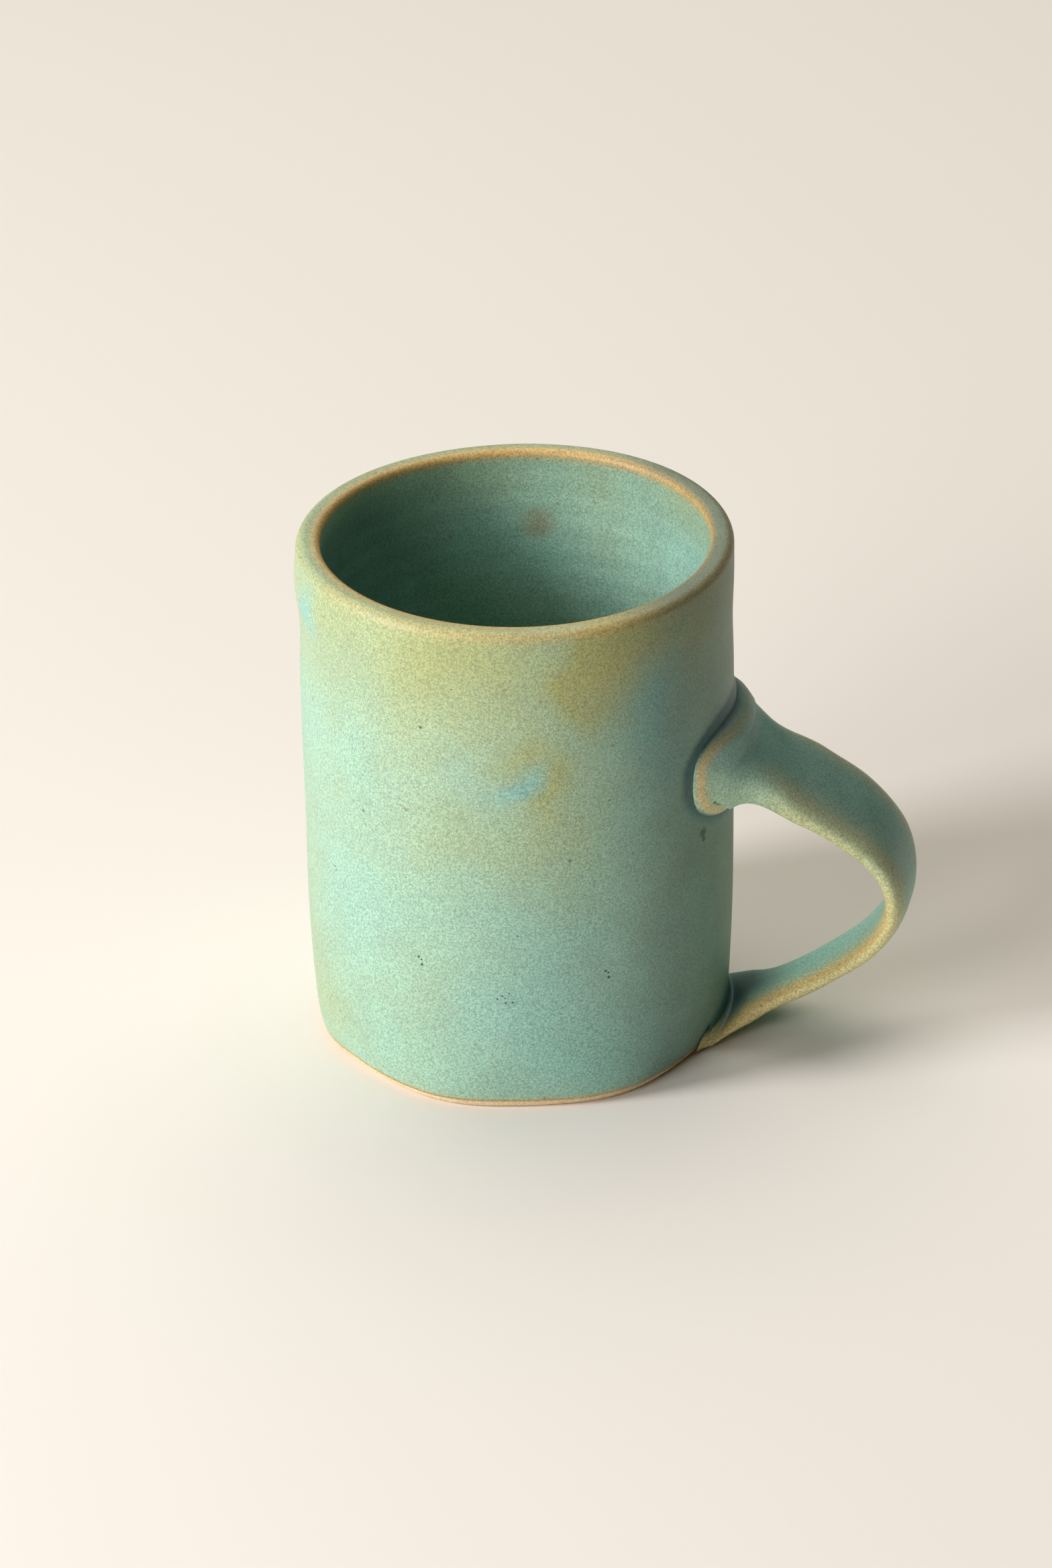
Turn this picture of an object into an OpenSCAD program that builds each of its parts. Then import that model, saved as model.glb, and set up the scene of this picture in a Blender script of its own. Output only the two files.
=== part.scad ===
// A stoneware mug: a cup thrown on a wheel, with a pulled strap handle stuck on with slip and
// a satin glaze inside and out. The mug stands on z = 0, its axis is Z, and the handle points
// along +X. All sizes are in millimetres, after firing.

/* [Cup] */
// Height from the table to the glazed lip
mug_h = 104; // [88:1:125]
// Outer radius of the glazed wall
wall_r = 41.6; // [36:0.2:50]
// Outer radius of the bare clay at the foot
foot_r = 38.4; // [32:0.2:41]
// Height of the curve that leads from the foot up to the straight wall
curve_h = 36; // [24:1:50]
// Thickness of the clay wall
clay_t = 3.7; // [3:0.1:6]
// Thickness of the clay floor
floor_t = 6.5; // [5:0.5:12]
// Radius of the curve inside, between the floor and the wall
inner_curve = 15; // [8:1:25]
// Radius of the lip's outer edge, under the glaze
lip_outer = 1.5; // [0.8:0.1:1.8]
// Radius of the lip's inner edge, under the glaze
lip_inner = 0.9; // [0.5:0.1:1.1]
// Bevel cut under the edge of the flat foot
foot_bevel = 0.8; // [0.3:0.1:1]

/* [Handle] */
// Distance from the mug's wall to the outside of the handle's bend
handle_out = 35; // [28:0.5:45]
// Height at which the strap leaves the wall
root_z = 61; // [52:1:76]
// Angle below level at which the strap leaves the wall
root_fall = 31; // [20:1:40]
// Height of the handle's outermost point
bend_z = 30.5; // [26:0.5:40]
// Height at which the strap comes back to the wall
tail_z = 5.8; // [5.6:0.1:12]
// Width of the strap around the bend
strap_w = 21.5; // [14:0.5:30]
// Width of the strap at its narrowest, just above the tail
waist_w = 15.5; // [10:0.5:24]
// Thickness of the strap around the bend
strap_t = 4.4; // [3:0.1:7]
// Width of the root where it is pressed on to the wall
root_w = 44; // [28:1:50]
// Height of the root where it is pressed on to the wall
root_h = 21.5; // [16:0.5:32]
// Width of the tail where it is pressed on to the wall
tail_w = 27; // [20:1:36]
// Height of the tail where it is pressed on to the wall
tail_h = 7.6; // [6:0.2:8.4]
// Thickness of the layer of slip in each joint
slip_t = 0.5; // [0.45:0.05:1]

/* [Glaze] */
// Thickness of each coat of glaze
glaze_t = 0.4; // [0.2:0.05:0.4]
// Height of the bare clay between the table and the outer glaze
bare_h = 1.2; // [1:0.1:4]
// Height of the band around the lip that was dipped a second time
band_h = 9; // [4:0.5:20]

/* [Hidden] */
$fn = 180;

clay = "#d8b98c";
slip = "#c09a6a";
green = "#93b59d";
ochre = "#c3a765";
teal = "#5d7a70";

// The clay inside the coats of glaze
clay_r = wall_r - glaze_t;
cavity_r = clay_r - clay_t;
lip_z = mug_h - glaze_t;
band_z = mug_h - band_h;

// Steps along each curve, stations along the strap and points around it
curve_steps = 12;
arc_steps = 6;
stations = 30;
around = 20;

// How far from the wall the pressed ends have fallen to half of their extra size
root_fade = 2.9;
tail_fade = 5;
// Roundness of the strap's section: 1 is an ellipse, and less is squarer
squareness = 0.75;

// Radius of the outside at height z, grown by t: a quarter ellipse, then a straight wall
function outside_r(z, t) =
    let(u = 1 - min(max(z, 0) / curve_h, 1))
    foot_r + (clay_r - foot_r) * sqrt(1 - u * u) + t;

// Heights of the points up the curve of the outside, closest together at the foot
curve_z = [for (i = [0 : curve_steps]) curve_h * (1 - cos(90 * i / curve_steps))];

// Points of an arc of radius r around c, from angle a to angle b
function arc(c, r, a, b) =
    [for (i = [0 : arc_steps]) let(q = a + (b - a) * i / arc_steps) c + r * [cos(q), sin(q)]];

// Points up the outside and over its edge to the lip, grown by t
function outside(t) = concat(
    [for (z = curve_z) [outside_r(z, t), z]],
    arc([clay_r - lip_outer, lip_z - lip_outer], lip_outer + t, 0, 90)
);

// Points from the lip's inner edge down the inside to the floor, with a coat of t on it
function inside(t) = concat(
    arc([cavity_r + lip_inner, lip_z - lip_inner], lip_inner + t, 90, 180),
    arc([cavity_r - inner_curve, floor_t + inner_curve], inner_curve - t, 0, -90),
    [[0, floor_t + t]]
);

// Half of the cup's section, with a coat of t inside and out
module cup_section(t) {
    polygon(concat([[0, 0]], outside(t), inside(t)));
}

// Half of the cup's outer form without its hollow, grown by t
module form_section(t) {
    polygon(concat([[0, 0]], outside(t), [[0, lip_z + t]]));
}

// Half of the hollow, with a coat of t inside it
module hollow_section(t) {
    polygon(concat(inside(t), [[0, lip_z + t]]));
}

// The part between two heights of the half section that is given as its first child less its second
module coat_between(z0, z1) {
    intersection() {
        difference() {
            children(0);
            children(1);
        }
        translate([0, z0]) square([wall_r + 1, z1 - z0]);
    }
}

// The cup's outer form without its hollow, grown by t
module cup_form(t) {
    rotate_extrude() form_section(t);
}

// The strap's middle line in (radius, height): one cubic curve down to the bend, one back
function cubic(p, s) =
    pow(1 - s, 3) * p[0] + 3 * s * pow(1 - s, 2) * p[1] + 3 * s * s * (1 - s) * p[2] + pow(s, 3) * p[3];
bend = [wall_r + handle_out - strap_t / 2, bend_z];
root = [wall_r, root_z];
tail = [outside_r(tail_z, glaze_t), tail_z];
reach = bend.x - root.x;
upper = [root, root + 0.7 * reach * [cos(root_fall), -sin(root_fall)], bend + [0, 0.42 * reach], bend];
lower = [bend, bend - [0, 0.3 * reach], tail + reach * [0.6, 0.06], tail];
function spine(s) = s < 1 ? cubic(upper, s) : cubic(lower, s - 1);
function slope(s) = let(d = spine(min(s + 0.01, 2)) - spine(max(s - 0.01, 0))) atan2(d.y, d.x);

// How much of an end's extra size is left at distance d from the wall
function swell(d, fade) = 1 / (1 + pow(max(d, 0) / fade, 2.4));
function root_swell(s) = s < 1 ? swell(spine(s).x - wall_r, root_fade) : 0;
function tail_swell(s) = s > 1 ? swell(spine(s).x - tail.x, tail_fade) : 0;

// The strap's width narrows from the bend to the waist above the tail
function strap_width(s) =
    strap_w + (waist_w - strap_w) * pow(sin(90 * max(s - 1, 0)), 2)
    + (root_w - strap_w) * root_swell(s) + (tail_w - waist_w) * tail_swell(s);
function strap_thickness(s) =
    strap_t + (root_h - strap_t) * root_swell(s) + (tail_h - strap_t) * tail_swell(s);

// The section stands upright where it is pressed to the wall, and turns with the line beyond
function lean(s) =
    s < 1 ? slope(s) * (1 - root_swell(s)) : -180 + (slope(s) + 180) * (1 - tail_swell(s));

// Points (across, up) around a section of half width w and half height h
function bulge(v) = sign(v) * pow(abs(v), squareness);
function outline(w, h) =
    [for (k = [0 : around - 1]) let(q = 360 * k / around) [w * bulge(cos(q)), h * bulge(sin(q))]];

// How far a wall of radius r has curved back at distance y from the handle's middle plane
function drop(y, r) = r - sqrt(max(r * r - y * y, 0));

// The pressed ends reach this deep into the cup, where they are cut away
buried = 3 + max(drop(root_w / 2, root.x), drop(tail_w / 2, tail.x));

// One ring of the strap's skin around the point p, leaning by angle a. With a wrap of 1 it is
// bent round a wall of radius r, and with 0 it is flat.
function ring(p, a, w, h, wrap, r) =
    [for (o = outline(w, h)) [p.x - o.y * sin(a) - wrap * drop(o.x, r), o.x, p.y + o.y * cos(a)]];

// The rings of the strap's skin in order, with a buried ring at each end
skin = concat(
    [ring(root - [buried, 0], 0, root_w / 2, root_h / 2, 1, root.x)],
    [for (i = [0 : stations]) let(s = 2 * i / stations)
        ring(spine(s), lean(s), strap_width(s) / 2, strap_thickness(s) / 2,
            max(root_swell(s), tail_swell(s)), s < 1 ? root.x : tail.x)],
    [ring(tail - [buried, 0], -180, tail_w / 2, tail_h / 2, 1, tail.x)]
);
rings = len(skin);

// Point k of ring i, counting round past the last point and staying on the end rings
function at(i, k) = skin[min(max(i, 0), rings - 1)][(k + around) % around];

// Direction straight out of the skin at that point
function out(i, k) = let(n = cross(at(i, k + 1) - at(i, k - 1), at(i + 1, k) - at(i - 1, k))) n / norm(n);

// All points of the skin in order, moved out by t
function grown(t) = [for (i = [0 : rings - 1], k = [0 : around - 1]) at(i, k) + t * out(i, k)];

// Faces of a band of triangles between ring a and ring b, which start at these points
function band(a, b) = [for (k = [0 : around - 1]) let(n = (k + 1) % around)
    each [[a + k, a + n, b + n], [a + k, b + n, b + k]]];
function tube(start) = [for (i = [0 : rings - 2]) each band(start + i * around, start + (i + 1) * around)];

// The strap as one closed solid
module strap() {
    first = [for (k = [around - 1 : -1 : 0]) k];
    last = [for (k = [0 : around - 1]) (rings - 1) * around + k];
    polyhedron(grown(0), concat(tube(0), [first, last]), convexity = 6);
}

// The coat around the strap, open at both ends like a sleeve
module strap_coat() {
    inner = rings * around;
    inner_faces = [for (f = tube(inner)) [f[2], f[1], f[0]]];
    ends = concat(band(inner, 0), band(inner - around, 2 * inner - around));
    polyhedron(concat(grown(glaze_t), grown(0)), concat(tube(0), inner_faces, ends), convexity = 8);
}

// The straight block that a pressed end sinks into the cup around the point p
module pressed_end(p, w, h) {
    translate([p.x - buried, 0, p.y]) rotate([90, 0, 90])
        linear_extrude(2 * buried) polygon(outline(w / 2, h / 2));
}
module root_block() {
    pressed_end(root, root_w, root_h);
}
module tail_block() {
    pressed_end(tail, tail_w, tail_h);
}

// The layer of slip between the wall and the pressed end that is given as its child
module slip_joint() {
    color(slip) intersection() {
        children();
        difference() {
            cup_form(slip_t);
            cup_form(0);
        }
    }
}

// The cup itself, cut off flat below, with a bevel under its edge
module thrown_body() {
    color(clay) rotate_extrude() difference() {
        cup_section(0);
        translate([foot_r, 0]) rotate(45) square(sqrt(2) * foot_bevel, center = true);
    }
}

module handle() {
    color(clay) difference() {
        strap();
        cup_form(slip_t);
    }
}

module upper_slip() {
    slip_joint() root_block();
}

module lower_slip() {
    slip_joint() tail_block();
}

module liner_glaze() {
    color(green) rotate_extrude() coat_between(floor_t, band_z) {
        hollow_section(0);
        hollow_section(glaze_t);
    }
}

// The outer coat leaves bare the two places where the handle is pressed on
module outer_glaze() {
    color(green) difference() {
        rotate_extrude() coat_between(bare_h, band_z) {
            form_section(glaze_t);
            form_section(0);
        }
        root_block();
        tail_block();
    }
}

module rim_glaze() {
    color(ochre) rotate_extrude() coat_between(band_z, mug_h + 1) {
        cup_section(glaze_t);
        cup_section(0);
    }
}

module handle_glaze() {
    color(teal) difference() {
        strap_coat();
        cup_form(slip_t);
    }
}

thrown_body();
handle();
upper_slip();
lower_slip();
liner_glaze();
outer_glaze();
rim_glaze();
handle_glaze();
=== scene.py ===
# %% [markdown]
# # A stoneware mug in satin glaze
# The mug was thrown on a wheel, and its strap handle was pulled by hand and pressed on with slip.
# The CAD model gives the perfect shape: how tall, how wide, how thick. What makes the real one
# look made by hand is added here: a foot that isn't quite round, soft throwing rings, a swollen
# join where the handle was pressed on, and a glaze that breaks to ochre where it runs thin and
# goes dark where it pools. Everything is in metres, in the same frame as the CAD model.

import math

import bmesh
import bpy
from mathutils import Matrix, Vector, noise


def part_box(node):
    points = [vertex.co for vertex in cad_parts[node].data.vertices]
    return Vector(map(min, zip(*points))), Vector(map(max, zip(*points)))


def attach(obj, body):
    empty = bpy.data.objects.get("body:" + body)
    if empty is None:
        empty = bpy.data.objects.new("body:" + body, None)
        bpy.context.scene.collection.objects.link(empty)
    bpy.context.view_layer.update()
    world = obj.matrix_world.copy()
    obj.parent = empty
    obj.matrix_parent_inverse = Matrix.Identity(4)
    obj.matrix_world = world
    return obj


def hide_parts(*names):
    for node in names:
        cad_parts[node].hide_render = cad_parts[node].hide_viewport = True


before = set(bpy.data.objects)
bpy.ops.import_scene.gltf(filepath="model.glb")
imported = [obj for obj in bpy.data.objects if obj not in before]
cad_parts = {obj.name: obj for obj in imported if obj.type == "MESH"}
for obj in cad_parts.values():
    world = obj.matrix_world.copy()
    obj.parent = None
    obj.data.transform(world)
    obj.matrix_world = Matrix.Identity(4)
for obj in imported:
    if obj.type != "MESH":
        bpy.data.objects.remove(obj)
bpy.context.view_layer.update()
MM = 0.001
print("nodes:", sorted(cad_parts))

# %% [markdown]
# ## Sizes
# Most sizes are read from the boxes of the CAD nodes, so the looks follow the design if it changes.
# The radius of the foot and the heights of the two curves can't be read from a box, so they repeat
# the design's values.

# %% Sizes from the frame
COAT = 0.4 * MM
WALL_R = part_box("outer_glaze")[1].x
CLAY_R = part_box("thrown_body")[1].x
TOP_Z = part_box("rim_glaze")[1].z
BAND_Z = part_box("rim_glaze")[0].z
CAVITY_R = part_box("liner_glaze")[1].x
FLOOR_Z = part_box("liner_glaze")[0].z
LINER_R = CAVITY_R - COAT
BARE_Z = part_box("outer_glaze")[0].z
REACH_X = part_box("handle_glaze")[1].x
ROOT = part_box("upper_slip")
FOOT_R = 38.4 * MM
CURVE_Z = 36 * MM
INNER_CURVE = 15 * MM
print(f"wall {WALL_R / MM:.1f} mm, top {TOP_Z / MM:.1f} mm, handle reaches {REACH_X / MM:.1f} mm")

# %% [markdown]
# ## Camera
# A long lens a little over a metre away, looking down at the mug by about 29 degrees, with the
# handle to the right and turned slightly forward.

# %% Camera
AZIMUTH = math.radians(7)
ELEVATION = math.radians(28.76)
ROLL = math.radians(-0.98)
DISTANCE = 1.172
AIM = Vector((1.32, 0.16, 49.9)) * MM

back = Vector((math.sin(AZIMUTH) * math.cos(ELEVATION),
               -math.cos(AZIMUTH) * math.cos(ELEVATION),
               math.sin(ELEVATION)))
lens = bpy.data.cameras.new("camera")
lens.sensor_fit = "VERTICAL"
lens.sensor_height = 36
lens.lens = 138.7
camera = bpy.data.objects.new("camera", lens)
camera.location = AIM + back * DISTANCE
roll = Matrix.Rotation(ROLL, 3, "Z").to_quaternion()
camera.rotation_euler = (back.to_track_quat("Z", "Y") @ roll).to_euler()
bpy.context.scene.collection.objects.link(camera)
bpy.context.scene.camera = camera
print(f"camera: {lens.lens} mm lens, {DISTANCE} m away")

# %% [markdown]
# ## Small helpers
# A piece starts as a bmesh and becomes an object that sits at the origin, so patterns that read
# object coordinates run on from one piece to the next.

# %% Helpers for meshes
# Steps around the mug's axis: for most pieces, and for the coats that show most
STEPS = 256
FINE_STEPS = 288


def smoothstep(low, high, x):
    """0 below low, 1 above high and a soft ramp between them."""
    t = min(max((x - low) / (high - low), 0.0), 1.0)
    return t * t * (3 - 2 * t)


def bell(x, middle, width):
    """A soft bump of height 1 around the middle."""
    return math.exp(-((x - middle) / width) ** 2)


def finish_piece(bm, name, node):
    """Turns the bmesh into a smooth object that stands for one CAD node."""
    mesh = bpy.data.meshes.new(name)
    bm.to_mesh(mesh)
    bm.free()
    piece = bpy.data.objects.new(name, mesh)
    bpy.context.scene.collection.objects.link(piece)
    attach(piece, "root")
    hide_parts(node)
    print(f"{name}: {len(mesh.polygons)} faces")
    return piece


def lathe(outline, steps, closed):
    """Spins an outline of (radius, height) points once around the mug's axis."""
    bm = bmesh.new()
    line = [bm.verts.new((r, 0, z)) for r, z in outline]
    for a, b in zip(line, line[1:]):
        bm.edges.new((a, b))
    if closed:
        bm.edges.new((line[-1], line[0]))
    bmesh.ops.spin(bm, geom=bm.verts[:] + bm.edges[:], cent=(0, 0, 0), axis=(0, 0, 1),
                   angle=math.tau, steps=steps, use_merge=True)
    bmesh.ops.remove_doubles(bm, verts=bm.verts, dist=1e-6)
    bmesh.ops.recalc_face_normals(bm, faces=bm.faces)
    for face in bm.faces:
        face.smooth = True
    return bm


def rises(start, stop, step):
    """Evenly spaced numbers from start to stop, about a step apart."""
    n = max(1, round(abs(stop - start) / step))
    return [start + (stop - start) * i / n for i in range(n + 1)]


def arc(centre, radius, first, last, n):
    """Points on an arc from angle first to angle last, in degrees."""
    turns = [math.radians(first + (last - first) * i / n) for i in range(n + 1)]
    return [(centre[0] + radius * math.cos(q), centre[1] + radius * math.sin(q)) for q in turns]


# %% [markdown]
# ## The hand-thrown shape
# No thrown cup is truly round. This one was lifted off the wheel by its foot while it was soft, so
# the foot has a faint seven-sided squareness that fades out within a couple of centimetres. Below
# the lip the wall swells and then draws in slightly, and inside, the potter's fingertip left soft
# rings that climb about 5 mm a turn. Each is a formula of the angle and the height, used by every
# coat, so the coats stay nested.

# %% The hand-thrown shape
def foot_lobes(angle, z):
    return 0.5 * MM * math.cos(7 * (angle + math.radians(55))) * bell(z, 0, 13 * MM)


def wall_swell(angle, z):
    left = 0.5 - 0.5 * math.cos(angle)
    swell = (0.1 + 0.5 * left) * bell(z, 96 * MM, 5.5 * MM)
    waist = (0.15 + 0.1 * left) * bell(z, 87 * MM, 6 * MM)
    return (swell - waist) * MM


def unevenness(co, scale, depth):
    return depth * noise.noise(co / scale)


def throwing_rings(angle, z):
    turn = z / (5 * MM) + angle / math.tau
    fade = smoothstep(10 * MM, 22 * MM, z) * (1 - smoothstep(94 * MM, 102 * MM, z))
    return 0.05 * MM * math.sin(math.tau * turn) * fade


def handmade(co):
    """Moves a point of the perfect cup to where it is on the hand-thrown one."""
    r = math.hypot(co.x, co.y)
    if r < 1e-5:
        return co.copy()
    angle = math.atan2(co.y, co.x)
    outer = smoothstep(CAVITY_R - 0.2 * MM, CAVITY_R + 1.2 * MM, r)
    push = outer * (foot_lobes(angle, co.z) + wall_swell(angle, co.z) + unevenness(co, 28 * MM, 0.22 * MM))
    wall = smoothstep(20 * MM, 30 * MM, r) * (1 - outer) * smoothstep(4 * MM, 8 * MM, co.z)
    push += wall * (throwing_rings(angle, co.z) + unevenness(co, 24 * MM, 0.2 * MM))
    lift = 0.3 * MM * math.sin(angle * 2 + 0.6) * bell(co.z, TOP_Z, 14 * MM)
    scale = (r + push) / r
    return Vector((co.x * scale, co.y * scale, co.z + lift))


def outside_r(z, grow):
    """Radius of the perfect outside: a quarter ellipse up from the foot, then straight."""
    u = 1 - min(max(z, 0) / CURVE_Z, 1)
    return FOOT_R + (CLAY_R - FOOT_R) * math.sqrt(1 - u * u) + grow


# %% [markdown]
# ## Where the handle is pressed on
# Glaze pools in the corner around each end of the handle. The two ends are ovals on the wall, so
# the distance from a point of the wall to the nearer oval says how deep the pool is there.

# %% Distance to the handle's ends
ROOT_Z = (ROOT[0].z + ROOT[1].z) / 2
ROOT_A = (ROOT[1].y - ROOT[0].y) / 2
ROOT_B = (ROOT[1].z - ROOT[0].z) / 2
ROOT_TILT = 0.1
TAIL_Z = 0.6 * MM
TAIL_A = 15 * MM
TAIL_B = 4.3 * MM


def oval_distance(across, up, a, b):
    """Roughly how far a point is outside a squarish oval; negative inside it."""
    k = (abs(across / a) ** 2.5 + abs(up / b) ** 2.5) ** 0.4
    if k < 1e-6:
        return -min(a, b)
    return (1 - 1 / k) * math.hypot(across, up)


def join_distance(co):
    angle = math.atan2(co.y, co.x)
    across = angle * WALL_R
    upper = oval_distance(across, co.z - ROOT_Z + ROOT_TILT * across, ROOT_A + 1 * MM, ROOT_B - 0.3 * MM)
    lower = oval_distance(across, co.z - TAIL_Z, TAIL_A + 0.5 * MM, TAIL_B + 0.5 * MM)
    return min(upper, lower)


# %% [markdown]
# ## How the glaze lies
# Four numbers are stored on each point of a coat, and the glaze material turns them into colour:
# `thin` where it has run off an edge and breaks to ochre, `pool_and_shade` where it has gathered
# and, on the wall's handle half and inside on the left, where shade is painted, `warm` where it is
# yellow-green rather than green, and `cool` where it is turquoise. On the outside the warm glaze is
# near the lip and in a few cloudy patches, at listed places.

# %% Glaze layers on the outside
# Cloudy patches on the wall: angle in degrees, height and radius in millimetres, strength
WARM_PATCHES = [(-64, 90, 7, 1.0), (-76, 72, 5, 0.85), (-86, 79, 6, 0.8), (-55, 98, 9, 0.7),
                (-113, 97, 19, 0.3), (-97, 58, 13, 0.35), (-153, 14, 12, 0.5), (-40, 99, 11, 0.9),
                (-70, 62, 9, 0.25)]
COOL_PATCHES = [(-83, 72, 3.8, 1.0), (-46, 84, 9, 0.8), (-155, 96, 4.5, 1.0), (-79, 30, 26, 0.45),
                (-42, 70, 8, 0.4), (-60, 8, 16, 0.5)]


def patches(co, places):
    """Adds up soft round patches on the wall."""
    total = 0
    for angle, z, radius, strength in places:
        q = math.radians(angle)
        centre = Vector((WALL_R * math.cos(q), WALL_R * math.sin(q), z * MM))
        total += strength * bell((co - centre).length, 0, radius * MM)
    return total


def lay_outside(co):
    """thin, pool_and_shade, warm and cool at a point of the outer wall."""
    drift = Vector((0, 0, 0))
    for size, reach in ((14, 6), (5, 2.2)):
        at = co / (size * MM)
        drift += Vector((noise.noise(at), 0, noise.noise(at + Vector((7, 0, 0))))) * reach * MM
    spot = co + drift
    cloud = noise.noise(co / (22 * MM) + Vector((3, 1, 0)))
    height = smoothstep(70 * MM, 103 * MM, co.z)
    warm = 0.12 + 0.5 * height + 0.25 * cloud + patches(spot, WARM_PATCHES)
    cool = 0.1 + 0.2 * noise.noise(co / (17 * MM)) + patches(spot, COOL_PATCHES)
    join = join_distance(co)
    cool += 0.8 * (1 - smoothstep(2 * MM, 4.5 * MM, join)) * (1 - smoothstep(50 * MM, 62 * MM, co.z))
    turn = math.degrees(math.atan2(co.y, co.x))
    # Painted shade: the half of the wall around the handle, turned away from the lights, is darkened with
    # the pool colour.
    painted_shade_right_half = smoothstep(-66, -34, turn) * (1 - smoothstep(40, 80, turn))
    ring = 1 - smoothstep(0.2 * MM, 3.4 * MM, join)
    pool_and_shade = ring * (0.5 + 0.5 * smoothstep(54 * MM, 64 * MM, co.z)) + 0.52 * painted_shade_right_half
    thin = 0.8 * bell(co.z, BARE_Z, 0.7 * MM)
    return thin, pool_and_shade, warm, cool


def lay(bm, rule):
    """Stores the four numbers of the glaze on every point."""
    layers = [bm.verts.layers.float.new(name) for name in ("thin", "pool_and_shade", "warm", "cool")]
    for v in bm.verts:
        for layer, value in zip(layers, rule(v.co)):
            v[layer] = min(max(value, 0.0), 1.0)


# %% [markdown]
# ## The clay cup
# Only its foot shows: a thin line of bare buff clay below the glaze, with a bevelled edge, and the
# flat underside where a wire cut it off the wheel. It is still made whole, wall and hollow, like
# the CAD node that it stands for.

# %% The clay cup
BEVEL = 0.45 * MM
LIP_OUT = 1.5 * MM
LIP_IN = 0.9 * MM
CLAY_TOP = TOP_Z - COAT


def outer_line(grow, low, high, step):
    return [(outside_r(z, grow), z) for z in rises(low, high, step)]


def clay_outline():
    under = [(0, 0.25 * MM), (12 * MM, 0.2 * MM), (24 * MM, 0.1 * MM), (33 * MM, 0), (FOOT_R - BEVEL, 0)]
    bevel = [(FOOT_R - 0.3 * BEVEL, 0.25 * BEVEL), (outside_r(BEVEL, 0), BEVEL)]
    wall = outer_line(0, 1.3 * MM, CLAY_TOP - LIP_OUT, 2.5 * MM)
    lip = arc((CLAY_R - LIP_OUT, CLAY_TOP - LIP_OUT), LIP_OUT, 0, 90, 4)
    inner = arc((CAVITY_R + LIP_IN, CLAY_TOP - LIP_IN), LIP_IN, 90, 180, 4)
    bend = arc((CAVITY_R - INNER_CURVE, FLOOR_Z + INNER_CURVE), INNER_CURVE, 0, -90, 10)
    return under + bevel + wall + lip + inner + bend + [(0, FLOOR_Z)]


bm = lathe(clay_outline(), STEPS, False)
for v in bm.verts:
    v.co = handmade(v.co)
clay_cup = finish_piece(bm, "clay_cup", "thrown_body")

# %% [markdown]
# ## The outer coat
# A shell 0.4 mm thick from just above the table to the band around the lip. Its lower edge wavers a
# little, because the glaze was wiped back by hand, and it swells softly where it was pressed
# against the ends of the handle.

# %% The outer coat
def shell(outer, inner):
    """A closed outline from an outer line going up and an inner line going up."""
    return outer + inner[::-1]


def sharpen_seam(bm, z):
    """Marks the edges of a cut end, so that two coats meet without a shading line."""
    for edge in bm.edges:
        if all(abs(v.co.z - z) < 1e-6 for v in edge.verts):
            edge.smooth = False


glazed_face = outer_line(COAT, BARE_Z, BAND_Z, 0.9 * MM)
clay_face = outer_line(0, BARE_Z, BAND_Z, 4 * MM)
bm = lathe(shell(glazed_face, clay_face), FINE_STEPS, True)
sharpen_seam(bm, BAND_Z)
lay(bm, lay_outside)
for v in bm.verts:
    wave = (0.45 + 0.3 * noise.noise(v.co / (9 * MM))) * MM * bell(v.co.z, BARE_Z, 1.5 * MM)
    fillet = 0.5 * MM * bell(max(join_distance(v.co), 0), 0, 1.3 * MM)
    spread = Vector((v.co.x, v.co.y, 0)).normalized() * fillet
    v.co = handmade(v.co) + Vector((0, 0, wave)) + spread
outer_coat = finish_piece(bm, "outer_coat", "outer_glaze")

# %% [markdown]
# ## The band around the lip
# The lip was dipped twice. The coat wraps over it from outside to inside, and runs thin along both
# of its rounded edges.

# %% The band around the lip
def lip_outline(grow, step):
    up = [(CLAY_R + grow, z) for z in rises(BAND_Z, CLAY_TOP - LIP_OUT, step)]
    over = arc((CLAY_R - LIP_OUT, CLAY_TOP - LIP_OUT), LIP_OUT + grow, 0, 90, 10)
    back_over = arc((CAVITY_R + LIP_IN, CLAY_TOP - LIP_IN), LIP_IN + grow, 90, 180, 8)
    down = [(CAVITY_R - grow, z) for z in rises(CLAY_TOP - LIP_IN, BAND_Z, step)]
    return up[:-1] + over + back_over + down[1:]


def lay_liner(co):
    """thin, pool_and_shade, warm and cool at a point of the inside."""
    cloud = noise.noise(co / (20 * MM))
    warm = 0.12 + 0.35 * cloud + 0.35 * smoothstep(88 * MM, 100 * MM, co.z)
    cool = 0.35 + 0.35 * noise.noise(co / (14 * MM) + Vector((0, 4, 0)))
    stain = bell((co - Vector((0, LINER_R, 88 * MM))).length, 0, 3 * MM)
    # Painted shade: the inside of the left wall, which the lip keeps from the lights, is darkened with the
    # pool colour.
    shaded_left_wall = 0.5 + 0.5 * math.cos(math.atan2(co.y, co.x) - math.radians(200))
    dark_pool_and_shade = 0.14 + 0.6 * smoothstep(0.35, 1.0, shaded_left_wall) * (1 - smoothstep(97 * MM, 103 * MM, co.z))
    return 0.55 * stain, dark_pool_and_shade + 0.35 * stain, warm, cool


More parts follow.
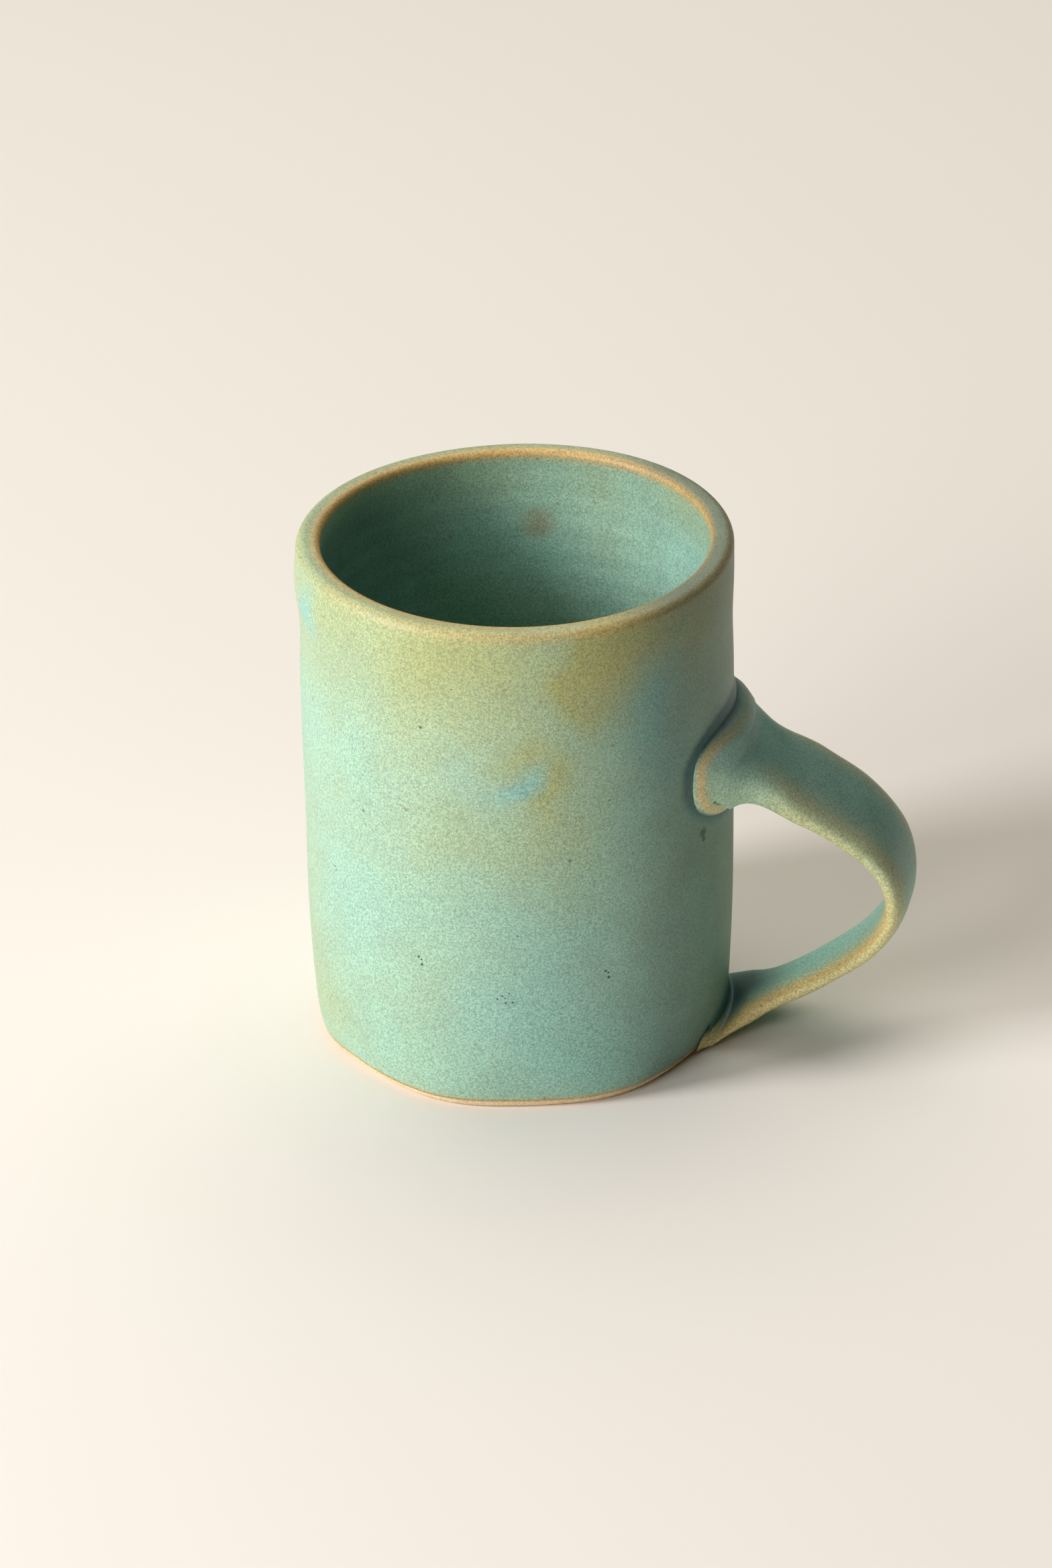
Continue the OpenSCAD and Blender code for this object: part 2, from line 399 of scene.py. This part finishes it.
def lay_lip(co):
    r = math.hypot(co.x, co.y)
    thin, pool_and_shade, warm, cool = lay_outside(co)
    inside = 1 - smoothstep(LINER_R - 0.1 * MM, LINER_R + 0.6 * MM, r)
    outer_edge = bell(math.hypot(r - WALL_R + 0.5 * MM, co.z - TOP_Z + 0.5 * MM), 0, 1.5 * MM)
    inner_edge = bell(math.hypot(r - LINER_R - 0.2 * MM, co.z - TOP_Z + 0.4 * MM), 0, 1.2 * MM)
    flat = bell(r, (WALL_R + LINER_R) / 2 - 0.2 * MM, 1.2 * MM) * smoothstep(TOP_Z - 1 * MM, TOP_Z, co.z)
    inner_look = lay_liner(co)
    warm = warm * (1 - inside) + inside * inner_look[2]
    cool = cool * (1 - inside) + inside * inner_look[3]
    pool_and_shade = pool_and_shade * (1 - inside) + inside * inner_look[1]
    outer_edge *= 0.45 + 0.3 * math.cos(math.atan2(co.y, co.x))
    return max(outer_edge, 1.3 * inner_edge), pool_and_shade + 0.2 * flat, warm, cool


bm = lathe(shell(lip_outline(COAT, 0.8 * MM), lip_outline(0, 3 * MM)), FINE_STEPS, True)
sharpen_seam(bm, BAND_Z)
lay(bm, lay_lip)
for v in bm.verts:
    v.co = handmade(v.co)
rim_coat = finish_piece(bm, "rim_coat", "rim_glaze")

# %% [markdown]
# ## The liner
# The same glaze poured inside. Its left side, away from the handle and shaded by the left wall from
# the lights, is painted darker as painted shade over a little pooled glaze all round, and a small
# brown stain marks the far wall.

# %% The liner
def liner_outline(grow, step):
    bend = arc((CAVITY_R - INNER_CURVE, FLOOR_Z + INNER_CURVE), INNER_CURVE - grow, -90, 0, 16)
    wall = [(CAVITY_R - grow, z) for z in rises(FLOOR_Z + INNER_CURVE, BAND_Z, step)]
    floor = [(r, FLOOR_Z + grow) for r in rises(0, CAVITY_R - INNER_CURVE, 4 * MM)]
    return floor[:-1] + bend[:-1] + wall


bm = lathe(shell(liner_outline(COAT, 0.8 * MM), liner_outline(0, 4 * MM)), STEPS, False)
sharpen_seam(bm, BAND_Z)
lay(bm, lay_liner)
for v in bm.verts:
    v.co = handmade(v.co)
liner_coat = finish_piece(bm, "liner_coat", "liner_glaze")

# %% [markdown]
# ## The handle
# A pulled handle is drawn out of a carrot of wet clay with a wet hand, which leaves a flat strap
# with soft edges that thins from root to tip. The root is pressed against the wall until it
# mushrooms into a collar, the strap is bent round, and its tip is pressed on just above the foot
# and smeared out like a fish's tail. The shape is lofted: a circle of points is placed at each
# station, each circle is moved to the section there, and the circles are bridged in order.

# %% The handle's middle line
def cubic(p, s):
    return (p[0] * (1 - s) ** 3 + p[1] * 3 * s * (1 - s) ** 2 + p[2] * 3 * s * s * (1 - s) + p[3] * s ** 3)


STRAP_T = 4.4 * MM
BEND = Vector((REACH_X - COAT - STRAP_T / 2, 30.5 * MM))
UPPER = [Vector((WALL_R, ROOT_Z - 1 * MM)), Vector((60, 50.9)) * MM, BEND + Vector((0, 14 * MM)), BEND]
LOWER = [BEND, BEND - Vector((0, 9.5 * MM)), Vector((60, 10.5)) * MM, Vector((40, 1.8)) * MM]


def spine(s):
    """A point of the strap's middle line in (x, z): s from 0 at the root to 2 at the tail."""
    return cubic(UPPER, s) if s < 1 else cubic(LOWER, s - 1)


def slope(s):
    """The line's direction as an angle: down and out at the root, straight down at the bend."""
    d = spine(min(s + 0.01, 2)) - spine(max(s - 0.01, 0))
    return math.atan2(d.y, d.x)


def left_of(distance, fade):
    """How much of a pressed end's extra size is left at a distance from the wall."""
    return 1 / (1 + (max(distance, 0) / fade) ** 2.4)


def power(v, n):
    return math.copysign(abs(v) ** n, v)


# %% [markdown]
# Each section is a rounded oblong. It is a thin strap around the bend, and swells like a trumpet
# towards the wall, where it stands upright and wraps round the cup.

# %% A section of the handle
HALF_WIDTH = 10.7 * MM
THICKNESS = 4.3 * MM
TWIST = 0.19


def strap_point(s, q):
    """A point of the handle at angle q around its section."""
    p = spine(s)
    root = left_of(p.x - WALL_R, 3.1 * MM) if s < 1 else 0
    tail = left_of(p.x - LOWER[3].x, 4.6 * MM) if s > 1 else 0
    waist = smoothstep(1.15, 1.85, s)
    half_w = HALF_WIDTH - 2.9 * MM * waist + (ROOT_A - 13 * MM) * root + (TAIL_A - 9.8 * MM) * tail
    taper = math.exp(-(max(p.x - WALL_R, 0) / (11 * MM)) ** 1.3) if s < 1 else 0
    thick = THICKNESS - 0.5 * MM * waist + 7.5 * MM * taper + 4.5 * MM * root + 2.2 * MM * tail
    lean = slope(s) * (1 - root) if s < 1 else -math.pi + (slope(s) + math.pi) * (1 - tail)
    round_off = smoothstep(0.8, 1.3, s)
    across = half_w * power(math.cos(q), 0.6 + 0.12 * round_off)
    twist = TWIST * smoothstep(0.08, 0.3, s) * (1 - 0.45 * smoothstep(0.4, 0.9, s))
    twist *= 1 - smoothstep(1.8, 1.98, s)
    up = thick / 2 * power(math.sin(q), 0.68 + 0.12 * round_off) + across * twist
    radius = WALL_R if s < 1 else outside_r(p.y, COAT)
    wrap = max(root, tail) * (radius - math.sqrt(max(radius * radius - across * across, 0)))
    return Vector((p.x - up * math.sin(lean) - wrap, across, max(p.y + up * math.cos(lean), 0.5 * MM)))


def wall_point(q, a, b, z, height, tilt=0):
    """A point of a squarish oval laid on the wall, standing out from it by a height."""
    across, up = a * power(math.cos(q), 0.75), b * power(math.sin(q), 0.75)
    zz = max(z + up - tilt * across, 0.7 * MM)
    r = outside_r(zz, COAT)
    turn = across / r
    return Vector(((r + height) * math.cos(turn), (r + height) * math.sin(turn), zz))


# %% [markdown]
# The first rings lie on the wall and stand out from it a little more each time, up over the swollen
# edge of the collar. Then they change over into the trumpet of the strap.

# %% The rings of the handle
AROUND = 64
# The collar and the tail's lip, in millimetres: how far outside its oval each ring lies, and how far
# out from the wall
COLLAR = [(-1.2, -1.2), (0.9, -0.15), (0.4, 0.12), (0, 0.5),
          (-0.4, 0.95), (-1.1, 1.35), (-2.0, 1.65), (-3.0, 1.95)]
TAIL_LIP = [(-1.2, -1.2), (1.4, -0.15), (0.7, 0.08), (0, 0.28), (-0.6, 0.55), (-1.2, 1.0), (-1.8, 1.6)]
# How many rings change over from a pressed end to the strap
CHANGE = 5


def root_ring(grow, height, q):
    top = max(math.sin(q), 0) ** 3
    lump = 1 + 1.3 * top * smoothstep(0.2 * MM, 1.2 * MM, height)
    a = ROOT_A + 0.7 * MM + grow
    b = ROOT_B + grow - 1.7 * MM * top
    return wall_point(q, a, b, ROOT_Z, height * lump, ROOT_TILT)


def tail_ring(grow, height, q):
    return wall_point(-q, TAIL_A + grow, TAIL_B + grow, TAIL_Z, height)


def blend_rings(first, last, n):
    """Rings in between two rings, not counting them."""
    return [[a.lerp(b, smoothstep(0, 1, (i + 1) / (n + 1))) for a, b in zip(first, last)] for i in range(n)]


ROOT_START, TAIL_STOP = 0.05, 1.9
turns = [math.tau * k / AROUND for k in range(AROUND)]
stations = rises(ROOT_START, TAIL_STOP, 0.025)
collar_rings = [[root_ring(g * MM, h * MM, q) for q in turns] for g, h in COLLAR]
strap_rings = [[strap_point(s, q) for q in turns] for s in stations]
tail_rings = [[tail_ring(g * MM, h * MM, q) for q in turns] for g, h in reversed(TAIL_LIP)]
rings = collar_rings + blend_rings(collar_rings[-1], strap_rings[0], CHANGE) + strap_rings
rings += blend_rings(strap_rings[-1], tail_rings[0], CHANGE) + tail_rings
print(f"handle: {len(rings)} rings of {AROUND} points")

# %% [markdown]
# On the handle the glaze runs off the two long edges of the strap and off the collar's swollen rim,
# where it breaks to ochre. It gathers in the corner against the wall and lies dark on the top. Its
# near side, which faces the front light, is painted lighter and warmer: partly the glaze's own
# colour, partly painted light.

# %% How the glaze lies on the handle
def place_along():
    """How far along each ring is: 0 at the wall by the root, 1 at the bend, 2 at the tail's wall."""
    return [0] * len(COLLAR) + [ROOT_START] * CHANGE + stations + [TAIL_STOP] * CHANGE + [2] * len(TAIL_LIP)


def lay_handle(ring, s, q):
    """thin, pool_and_shade, warm and cool on the handle: s along it and q around it."""
    top, side = math.sin(q), -math.cos(q)
    near_ridge = bell(math.degrees(q), 135, 22)
    far_ridge = bell(math.degrees(q), 45, 22)
    inner_ridge = bell(math.degrees(q), 214, 14)
    toe = min(ring, len(rings) - 1 - ring)
    free = smoothstep(0.02, 0.2, s) * (1 - smoothstep(1.9, 2.0, s))
    below = smoothstep(0.7, 1.15, s)
    thin = 0.95 * bell(toe, 5, 1.3) * (0.4 + 0.6 * max(side, 0) ** 0.7) if s < 1 else 0
    thin += free * (0.4 * near_ridge * (1 - below) + 0.45 * far_ridge + 0.95 * inner_ridge * below)
    # Painted light: the near side faces the front light, so it is painted lighter and more ochre along the
    # lower strap and tail, over the real ochre break at its edge.
    thin += 0.5 * below * max(side, 0) ** 1.5 + 0.3 * smoothstep(1.6, 1.95, s) * max(side, 0)
    top_dark = 0.6 * max(top, 0) * (1 - smoothstep(0.7, 1.2, s))
    corner = (1 - smoothstep(1.5, 3.5, toe)) if s < 1 else smoothstep(1.7, 1.93, s) * max(-top, 0) ** 0.5
    corner *= 1 - 0.8 * max(side, 0)
    corner = max(corner, (1 - smoothstep(2, 4.5, toe)) * (1 - smoothstep(0.8, 1, side)))
    bowl = 1 - smoothstep(0.03, 0.3, s)
    # The near side is warm yellow-green: partly the glaze's own colour, partly painted light where the
    # front light falls on it.
    warm = 0.25 + 0.75 * max(side, 0) * (1 - 0.6 * bowl) - 0.25 * max(top, 0)
    cool = 0.2 + 0.4 * bowl + 0.75 * max(-top, 0) * smoothstep(1.0, 1.3, s) * (1 - max(side, 0))
    cool += 0.35 * max(top, 0)
    pool_and_shade = corner + top_dark
    return thin, pool_and_shade, warm, cool


# %% Loft the handle
def loft(rings):
    """Bridges the rings in order into one open tube."""
    bm = bmesh.new()
    last = []
    for ring in rings:
        made = bmesh.ops.create_circle(bm, segments=len(ring), radius=1, cap_ends=False)
        for v, co in zip(made["verts"], ring):
            v.co = co
        bm.edges.ensure_lookup_table()
        edges = bm.edges[-len(ring):]
        if last:
            bmesh.ops.bridge_loops(bm, edges=last + edges)
        last = edges
    bmesh.ops.recalc_face_normals(bm, faces=bm.faces)
    for face in bm.faces:
        face.smooth = True
    return bm


HAND_SCALE = 9 * MM
HAND_DEPTH = 0.22 * MM


def handle_layer(v):
    ring, k = divmod(v.index, AROUND)
    return lay_handle(ring, along[ring], turns[k])


along = place_along()
bm = loft(rings)
bm.verts.index_update()
layers = [bm.verts.layers.float.new(name) for name in ("thin", "pool_and_shade", "warm", "cool")]
for v in bm.verts:
    for layer, value in zip(layers, handle_layer(v)):
        v[layer] = min(max(value, 0.0), 1.0)
for v in bm.verts:
    v.co += v.normal * unevenness(v.co, HAND_SCALE, HAND_DEPTH)
handle_coat = finish_piece(bm, "handle_coat", "handle_glaze")
wall = handle_coat.modifiers.new("coat thickness", "SOLIDIFY")
wall.thickness = COAT
wall.offset = -1

# %% [markdown]
# Under the coat is the clay strap itself: the same rings, drawn in by the coat's thickness and closed
# at both ends.

# %% The clay strap under the coat
bm = loft(rings)
for v in bm.verts:
    v.co += v.normal * (unevenness(v.co, HAND_SCALE, HAND_DEPTH) - COAT)
bmesh.ops.holes_fill(bm, edges=[e for e in bm.edges if e.is_boundary], sides=0)
bmesh.ops.recalc_face_normals(bm, faces=bm.faces)
clay_strap = finish_piece(bm, "clay_strap", "handle")

# %% [markdown]
# ## The slip in the joints
# Potters score both faces of a joint and brush liquid clay between them. It's hidden once the
# handle is pressed home, so here it's a thin pad on the wall under each end of the handle.

# %% The slip in the joints
def slip_pad(name, node, a, b, z):
    """A thin oval pad on the wall: rings out over its face and back along the wall."""
    steps = [(0.02, 0.1), (0.4, 0.1), (0.8, 0.1), (1, 0), (1, -0.3), (0.8, -0.4), (0.4, -0.4), (0.02, -0.4)]
    bm = loft([[wall_point(q, k * a, k * b, z, h * MM) for q in turns] for k, h in steps])
    bmesh.ops.holes_fill(bm, edges=[e for e in bm.edges if e.is_boundary], sides=0)
    bmesh.ops.recalc_face_normals(bm, faces=bm.faces)
    return finish_piece(bm, name, node)


upper_pad = slip_pad("upper_pad", "upper_slip", ROOT_A - 0.5 * MM, ROOT_B - 1.5 * MM, ROOT_Z)
lower_pad = slip_pad("lower_pad", "lower_slip", TAIL_A - 1 * MM, TAIL_B - 1 * MM, TAIL_Z)

# %% [markdown]
# ## Materials
# A glaze is glass that was melted on to the clay. This one is a satin stoneware glaze: it is full of
# tiny crystals, about half a millimetre across, that scatter its highlight into a soft sheen and
# give it a fine mottle. All four coats are one recipe, in lighter colours on the handle, which are
# partly painted light for its lit near side.

# %% Helpers for materials
def linear(hex_colour):
    """An sRGB hex colour as linear red, green, blue and alpha."""
    parts = [int(hex_colour[i:i + 2], 16) / 255 for i in (1, 3, 5)]
    return [c / 12.92 if c <= 0.04045 else ((c + 0.055) / 1.055) ** 2.4 for c in parts] + [1]


def add(tree, kind, settings, inputs):
    """Adds a node, sets it up and links or fills its inputs."""
    node = tree.nodes.new(kind)
    for key, value in settings.items():
        setattr(node, key, value)
    for key, value in inputs.items():
        if isinstance(value, bpy.types.NodeSocket):
            tree.links.new(value, node.inputs[key])
        else:
            node.inputs[key].default_value = value
    return node


def noise_at(tree, place, per_mm, detail, roughness=0.5):
    """A noise with about so many grains to the millimetre."""
    inputs = {"Vector": place, "Scale": per_mm * PER_MM, "Detail": detail, "Roughness": roughness}
    return add(tree, "ShaderNodeTexNoise", {}, inputs).outputs["Fac"]


def map_range(tree, value, low, high, to_low=0.0, to_high=1.0):
    """Moves a value from one range to another and keeps it inside."""
    inputs = {"Value": value, "From Min": low, "From Max": high, "To Min": to_low, "To Max": to_high}
    return add(tree, "ShaderNodeMapRange", {}, inputs).outputs[0]


def scaled(tree, colour, factor):
    """A colour made lighter or darker by a factor."""
    inputs = {0: colour, "Scale": factor}
    return add(tree, "ShaderNodeVectorMath", {"operation": "SCALE"}, inputs).outputs[0]


def new_material(name):
    material = bpy.data.materials.new(name)
    material.use_nodes = True
    tree = material.node_tree
    return material, tree, tree.nodes["Principled BSDF"]


MIX = {"data_type": "RGBA", "clamp_factor": True}
PER_MM = 1000

# %% [markdown]
# ## Satin glaze
# The stored numbers are soft, so each is roughened with noise and then sharpened, which gives the
# ragged, speckled borders that crystals make. The mottle is one noise at a quarter of a millimetre
# and a coarser one at half a millimetre.

# %% Satin glaze
def layer_amount(tree, name, cloud, grain, raggedness):
    """A stored number with a ragged, speckled border."""
    stored = add(tree, "ShaderNodeAttribute", {"attribute_name": name}, {})
    soft = add(tree, "ShaderNodeMath", {"operation": "MULTIPLY_ADD"},
               {0: cloud, 1: raggedness, 2: stored.outputs["Fac"]})
    rough = add(tree, "ShaderNodeMath", {"operation": "MULTIPLY_ADD"},
                {0: grain, 1: raggedness, 2: soft.outputs[0]})
    return add(tree, "ShaderNodeMath", {"operation": "SUBTRACT", "use_clamp": True},
               {0: rough.outputs[0], 1: raggedness}).outputs[0]


def nearest(tree, place, spots):
    """How far a point of the surface is from the nearest spot, in spot radii."""
    best = 100.0
    for (angle, z, radius) in spots:
        q = math.radians(angle)
        centre = (WALL_R * math.cos(q), WALL_R * math.sin(q), z * MM)
        apart = add(tree, "ShaderNodeVectorMath", {"operation": "DISTANCE"}, {0: place, 1: centre})
        far = apart.outputs["Value"]
        ratio = add(tree, "ShaderNodeMath", {"operation": "DIVIDE"}, {0: far, 1: radius * MM}).outputs[0]
        best = add(tree, "ShaderNodeMath", {"operation": "MINIMUM"}, {0: ratio, 1: best}).outputs[0]
    return best


def satin_glaze(name, green, warm, cool, edge, dark_pool_and_shade, pits, blots):
    material, tree, shader = new_material(name)
    place = add(tree, "ShaderNodeTexCoord", {}, {}).outputs["Object"]
    grain = noise_at(tree, place, 4.2, 2.0, 0.7)
    fleck = noise_at(tree, place, 2.0, 3.0, 0.7)
    cloud = noise_at(tree, place, 0.12, 3.0)
    colour = linear(green)
    # The pool_and_shade tint darkens where the glaze pooled and, on the outer wall and the liner, where
    # shade is painted.
    tints = [("warm", warm, 0.35), ("cool", cool, 0.35), ("thin", edge, 0.25), ("pool_and_shade", dark_pool_and_shade, 0.25)]
    for layer, tint, raggedness in tints:
        amount = layer_amount(tree, layer, cloud, fleck, raggedness)
        mixed = add(tree, "ShaderNodeMix", MIX, {0: amount, 6: colour, 7: linear(tint)})
        colour = mixed.outputs[2]
    speckle = add(tree, "ShaderNodeMath", {"operation": "ADD"}, {0: grain, 1: fleck}).outputs[0]
    colour = scaled(tree, colour, map_range(tree, speckle, 0.83, 1.17, 0.66, 1.26))
    iron = noise_at(tree, place, 0.75, 1.0)
    rust = map_range(tree, iron, 0.73, 0.78, 0.0, 0.5)
    colour = add(tree, "ShaderNodeMix", MIX, {0: rust, 6: colour, 7: linear("#8a6a3c")}).outputs[2]
    if blots:
        blot = add(tree, "ShaderNodeMath", {"operation": "MULTIPLY_ADD"},
                   {0: fleck, 1: 1.6, 2: nearest(tree, place, blots)}).outputs[0]
        colour = scaled(tree, colour, map_range(tree, blot, 1.2, 2.1, 0.3, 1.0))
    if pits:
        hole = map_range(tree, nearest(tree, place, pits), 0.7, 1.1, 0.12, 1.0)
        colour = scaled(tree, colour, hole)
    gloss = map_range(tree, speckle, 0.6, 1.4, 0.38, 0.54)
    bump = add(tree, "ShaderNodeBump", {}, {"Height": speckle, "Distance": 0.08 * MM, "Strength": 0.6})
    tree.links.new(colour, shader.inputs["Base Color"])
    tree.links.new(gloss, shader.inputs["Roughness"])
    tree.links.new(bump.outputs[0], shader.inputs["Normal"])
    shader.inputs["IOR"].default_value = 1.5
    return material


# Groups of pinholes where gas escaped: angle in degrees, height in millimetres and how many
PIT_GROUPS = [(-87.6, 26.2, 6), (-59.8, 29.7, 3), (-110.4, 32.5, 3), (-29.5, 24.3, 3), (-141, 44, 2)]
GOLDEN_TURN = 2.4
PITS = []
for angle, z, count in PIT_GROUPS:
    for i in range(count):
        turn = GOLDEN_TURN * i
        spread = 0.75 * math.sqrt(i)
        pit_angle = angle + spread * 1.4 * math.cos(turn)
        pit_z = z + spread * math.sin(turn)
        PITS.append((pit_angle, pit_z, 0.23 + 0.04 * (i % 3)))
# Dark blemishes: where the glaze crawled below the collar, and a few iron specks
BLOTS = [(-25.9, 51.1, 1.1), (-25.4, 49.7, 0.7), (-109, 82.8, 0.35), (-70, 55.5, 0.3),
         (-84, 40, 0.25), (-128, 61, 0.3), (-59, 67, 0.3), (-100, 92, 0.25)]

# Its dark teal tint stands for both pooled glaze and painted shade.
outside_glaze = satin_glaze("satin glaze", "#a3c9af", "#b0b36e", "#8dc3b6", "#d6b068", "#32605e",
                            PITS, BLOTS)
# Lighter colours than the wall's: partly the handle glaze's own colour, partly painted light on its lit
# near side.
strap_glaze = satin_glaze("satin glaze on the handle", "#b8dcc0", "#e6e29c", "#9edccb", "#f0d48c",
                          "#2c5352", [], [])
for piece in (outer_coat, rim_coat, liner_coat):
    piece.data.materials.append(outside_glaze)
handle_coat.data.materials.append(strap_glaze)
print(f"glaze: {len(PITS)} pinholes, {len(BLOTS)} blemishes")

# %% [markdown]
# ## Bare clay
# Buff stoneware, fired but unglazed: matt and slightly gritty, with sand grains about half a
# millimetre across.

# %% Bare stoneware and slip
def bare_clay(name, buff, grit):
    material, tree, shader = new_material(name)
    place = add(tree, "ShaderNodeTexCoord", {}, {}).outputs["Object"]
    sand = noise_at(tree, place, 2.2, 3.0)
    tone = map_range(tree, sand, 0.35, 0.65)
    mixed = add(tree, "ShaderNodeMix", MIX, {0: tone, 6: linear(grit), 7: linear(buff)})
    bump = add(tree, "ShaderNodeBump", {}, {"Height": sand, "Distance": 0.08 * MM, "Strength": 0.6})
    tree.links.new(mixed.outputs[2], shader.inputs["Base Color"])
    tree.links.new(bump.outputs[0], shader.inputs["Normal"])
    shader.inputs["Roughness"].default_value = 0.85
    return material


clay = bare_clay("bare buff stoneware", "#f8e4bc", "#e2c292")
slip = bare_clay("fired slip", "#c9a877", "#a98656")
clay_cup.data.materials.append(clay)
clay_strap.data.materials.append(clay)
upper_pad.data.materials.append(slip)
lower_pad.data.materials.append(slip)
print("clay:", clay.name, "and", slip.name)

# %% [markdown]
# ## Floor and light
# A pale warm floor, two soft lights from the left and the front left, and a broad fill high behind
# the mug.

# %% Floor and light
bm = bmesh.new()
bmesh.ops.create_grid(bm, x_segments=1, y_segments=1, size=3)
floor_mesh = bpy.data.meshes.new("floor")
bm.to_mesh(floor_mesh)
bm.free()
floor = bpy.data.objects.new("floor", floor_mesh)
bpy.context.scene.collection.objects.link(floor)
paper, tree, shader = new_material("pale paper")
shader.inputs["Base Color"].default_value = linear("#f0eae0")
shader.inputs["Roughness"].default_value = 0.9
floor_mesh.materials.append(paper)


LIGHT_DISTANCE = 1.5


def soft_light(name, azimuth, elevation, size, watts, colour):
    """A soft oval light that faces the mug from a direction given in degrees."""
    lamp = bpy.data.lights.new(name, "AREA")
    lamp.shape = "ELLIPSE"
    lamp.size, lamp.size_y = size
    lamp.energy = watts
    lamp.color = linear(colour)[:3]
    a, e = math.radians(azimuth), math.radians(elevation)
    away = Vector((math.cos(a) * math.cos(e), math.sin(a) * math.cos(e), math.sin(e)))
    obj = bpy.data.objects.new(name, lamp)
    obj.location = AIM + LIGHT_DISTANCE * away
    obj.rotation_euler = away.to_track_quat("Z", "Y").to_euler()
    bpy.context.scene.collection.objects.link(obj)
    print(f"{name}: {watts} W")


soft_light("key from the left", 206, 27, (0.4, 0.7), 20, "#f7f5f9")
soft_light("key from the front", 235, 24, (0.8, 0.7), 10.5, "#f7f5f9")
soft_light("fill", 96, 62, (2.0, 2.0), 17.7, "#fffaf2")
world = bpy.data.worlds.new("studio")
bpy.context.scene.world = world
world.use_nodes = True
background = world.node_tree.nodes["Background"]
background.inputs["Color"].default_value = linear("#fff6ec")
background.inputs["Strength"].default_value = 0.01

# %% Plain colours, without a film look
bpy.context.scene.view_settings.view_transform = "Standard"
